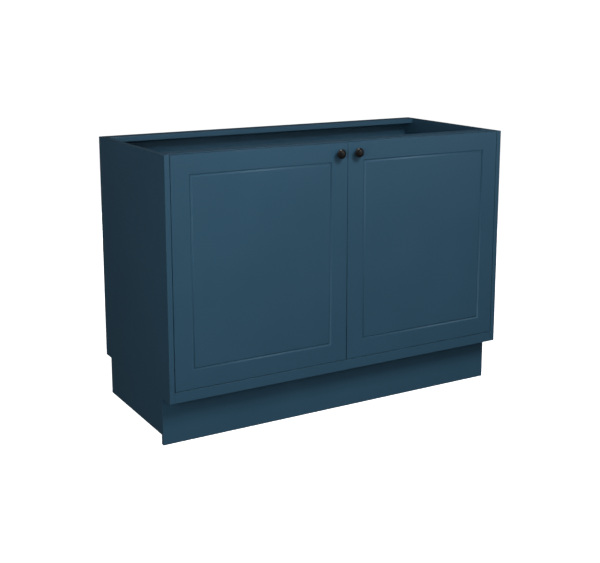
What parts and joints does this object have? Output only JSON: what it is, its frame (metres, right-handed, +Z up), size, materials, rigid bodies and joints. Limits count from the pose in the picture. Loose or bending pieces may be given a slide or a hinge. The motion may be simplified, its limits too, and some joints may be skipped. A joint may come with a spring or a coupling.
{
  "type": "bathroom vanity cabinet",
  "caption": "Floor-standing blue vanity base cabinet with an open top, inset grooved doors on concealed hinges, round dark knobs and a plinth.",
  "frame": {"origin": "on the floor, at the middle of the width and of the depth over the knobs", "axes": "+X to the right as the doors are faced, +Y back to the wall, +Z up"},
  "size_m": [1.2, 0.542, 0.865],
  "materials": {
    "blue_paint": "satin lacquer over fibreboard",
    "nickel_steel": "nickel plate",
    "zinc_steel": "zinc plate",
    "dark_bronze": "dark bronze, satin",
    "black_plastic": "moulded",
    "clear_bumper": "soft translucent"
  },
  "bodies": {
    "carcass": {"side_panel_left": "blue_paint", "side_panel_right": "blue_paint", "bottom_front_rail": "blue_paint", "bottom_panel": "blue_paint", "front_top_rail": "blue_paint", "back_top_rail": "blue_paint", "back_panel": "blue_paint", "plinth_board": "blue_paint", "leg_front_left_socket": "black_plastic", "leg_front_left_tube": "black_plastic", "leg_front_middle_socket": "black_plastic", "leg_front_middle_tube": "black_plastic", "leg_front_right_socket": "black_plastic", "leg_front_right_tube": "black_plastic", "leg_rear_left_socket": "black_plastic", "leg_rear_left_tube": "black_plastic", "leg_rear_middle_socket": "black_plastic", "leg_rear_middle_tube": "black_plastic", "leg_rear_right_socket": "black_plastic", "leg_rear_right_tube": "black_plastic", "plinth_clip_left": "black_plastic", "plinth_clip_right": "black_plastic", "hinge_left_upper_plate": "nickel_steel", "hinge_left_upper_arm": "nickel_steel", "hinge_left_lower_plate": "nickel_steel", "hinge_left_lower_arm": "nickel_steel", "hinge_right_upper_plate": "nickel_steel", "hinge_right_upper_arm": "nickel_steel", "hinge_right_lower_plate": "nickel_steel", "hinge_right_lower_arm": "nickel_steel", "wall_bracket_left": "zinc_steel", "wall_bracket_right": "zinc_steel"},
    "left_outer_links": {"hinge_left_upper_outer_link": "nickel_steel", "hinge_left_lower_outer_link": "nickel_steel"},
    "left_door": {"door_left": "blue_paint", "knob_left": "dark_bronze", "knob_screw_left": "zinc_steel", "door_bumper_left": "clear_bumper", "hinge_left_upper_cup": "nickel_steel", "hinge_left_lower_cup": "nickel_steel"},
    "left_inner_links": {"hinge_left_upper_inner_link": "nickel_steel", "hinge_left_lower_inner_link": "nickel_steel"},
    "right_outer_links": {"hinge_right_upper_outer_link": "nickel_steel", "hinge_right_lower_outer_link": "nickel_steel"},
    "right_door": {"door_right": "blue_paint", "knob_right": "dark_bronze", "knob_screw_right": "zinc_steel", "door_bumper_right": "clear_bumper", "hinge_right_upper_cup": "nickel_steel", "hinge_right_lower_cup": "nickel_steel"},
    "right_inner_links": {"hinge_right_upper_inner_link": "nickel_steel", "hinge_right_lower_inner_link": "nickel_steel"},
    "front_left_foot": {"leg_front_left_foot": "black_plastic"},
    "front_middle_foot": {"leg_front_middle_foot": "black_plastic"},
    "front_right_foot": {"leg_front_right_foot": "black_plastic"},
    "rear_left_foot": {"leg_rear_left_foot": "black_plastic"},
    "rear_middle_foot": {"leg_rear_middle_foot": "black_plastic"},
    "rear_right_foot": {"leg_rear_right_foot": "black_plastic"}
  },
  "joints": [
    {"name": "left_outer_link_pivot", "type": "hinge", "parent": "carcass", "child": "left_outer_links", "pos_m": [-0.5321, -0.1973, 0.769], "axis": [0, 0, -1], "range_deg": [-26.3, 1]},
    {"name": "left_door_swing", "type": "hinge", "parent": "left_outer_links", "child": "left_door", "pos_m": [-0.5667, -0.23, 0.769], "axis": [0, 0, -1], "range_deg": [0, 115.29]},
    {"name": "left_inner_link_pivot", "type": "hinge", "parent": "carcass", "child": "left_inner_links", "pos_m": [-0.526, -0.2205, 0.769], "axis": [0, 0, -1], "range_deg": [-35.7, 1]},
    {"name": "right_outer_link_pivot", "type": "hinge", "parent": "carcass", "child": "right_outer_links", "pos_m": [0.5321, -0.1973, 0.769], "axis": [0, 0, 1], "range_deg": [-26.3, 1]},
    {"name": "right_door_swing", "type": "hinge", "parent": "right_outer_links", "child": "right_door", "pos_m": [0.5667, -0.23, 0.769], "axis": [0, 0, 1], "range_deg": [0, 115.29]},
    {"name": "right_inner_link_pivot", "type": "hinge", "parent": "carcass", "child": "right_inner_links", "pos_m": [0.526, -0.2205, 0.769], "axis": [0, 0, 1], "range_deg": [-35.7, 1]},
    {"name": "front_left_foot_screw", "type": "slide", "parent": "carcass", "child": "front_left_foot", "axis": [0, 0, -1], "range_m": [0, 0.02]},
    {"name": "front_middle_foot_screw", "type": "slide", "parent": "carcass", "child": "front_middle_foot", "axis": [0, 0, -1], "range_m": [0, 0.02]},
    {"name": "front_right_foot_screw", "type": "slide", "parent": "carcass", "child": "front_right_foot", "axis": [0, 0, -1], "range_m": [0, 0.02]},
    {"name": "rear_left_foot_screw", "type": "slide", "parent": "carcass", "child": "rear_left_foot", "axis": [0, 0, -1], "range_m": [0, 0.02]},
    {"name": "rear_middle_foot_screw", "type": "slide", "parent": "carcass", "child": "rear_middle_foot", "axis": [0, 0, -1], "range_m": [0, 0.02]},
    {"name": "rear_right_foot_screw", "type": "slide", "parent": "carcass", "child": "rear_right_foot", "axis": [0, 0, -1], "range_m": [0, 0.02]}
  ],
  "couplings": [
    {"joint": "left_outer_link_pivot", "follows": "left_door_swing", "ratio": -0.21936},
    {"joint": "left_inner_link_pivot", "follows": "left_door_swing", "ratio": -0.30133},
    {"joint": "right_outer_link_pivot", "follows": "right_door_swing", "ratio": -0.21936},
    {"joint": "right_inner_link_pivot", "follows": "right_door_swing", "ratio": -0.30133}
  ]
}
